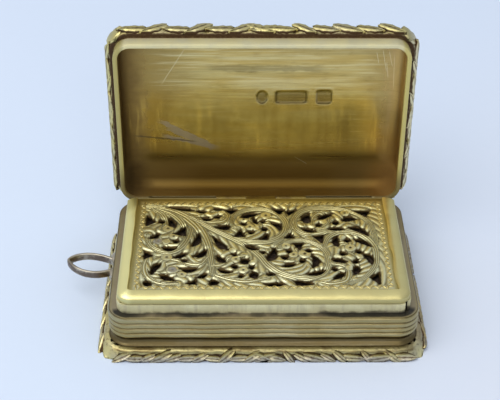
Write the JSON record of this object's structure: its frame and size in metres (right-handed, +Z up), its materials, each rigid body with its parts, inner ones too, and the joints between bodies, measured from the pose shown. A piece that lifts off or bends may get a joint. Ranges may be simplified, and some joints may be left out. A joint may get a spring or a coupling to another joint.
{
  "type": "silver vinaigrette",
  "caption": "Small rectangular silver-gilt vinaigrette with foliate borders, hinged lid, hinged scroll-pierced grille over a scented sponge, and a suspension loop.",
  "frame": {"origin": "centre of the flat underside, midway along and across the foot border", "axes": "+X to the right seen from the front with the suspension loop on the left, +Y to the hinge side, +Z up"},
  "size_m": [0.0453, 0.0295, 0.0305],
  "materials": {
    "gilt": "worn silver-gilt, warm, with brown tarnish in the hollows",
    "reeded_gilt": "rubbed silver-gilt, grey-olive on the crests and brown in the grooves",
    "border_gilt": "cast leaf ornament, bright on the tips and dark in the cuts",
    "grille_gilt": "bright pale gilding with engraved lines",
    "silver": "worn silver with a grey-green tarnish",
    "pin_wire": "drawn silver wire, dull",
    "sponge": "dry dark brown natural sponge"
  },
  "bodies": {
    "base": {"base_plate": "gilt", "base_wall": "reeded_gilt", "base_border_front": "border_gilt", "base_border_right": "border_gilt", "base_border_back": "border_gilt", "base_border_left": "border_gilt", "bezel_front": "silver", "bezel_right": "silver", "bezel_back": "silver", "base_knuckles": "reeded_gilt", "lid_hinge_pin": "pin_wire", "grille_seat_knuckles": "gilt", "grille_hinge_pin": "pin_wire", "suspension_loop": "silver", "sponge": "sponge"},
    "lid": {"lid_plate": "gilt", "lid_wall": "gilt", "lid_rim": "gilt", "lid_border_front": "border_gilt", "lid_border_right": "border_gilt", "lid_border_back": "border_gilt", "lid_border_left": "border_gilt", "lid_knuckles": "reeded_gilt"},
    "grille": {"grille_panel": "grille_gilt", "grille_frame": "grille_gilt", "grille_knuckle": "grille_gilt"}
  },
  "joints": [
    {"name": "lid_hinge", "type": "hinge", "parent": "base", "child": "lid", "pos_m": [0, 0.01175, 0.00585], "axis": [-1, 0, 0], "range_deg": [-92, 0]},
    {"name": "grille_hinge", "type": "hinge", "parent": "base", "child": "grille", "pos_m": [0, 0.00975, 0.00765], "axis": [-1, 0, 0], "range_deg": [0, 1.5]}
  ]
}
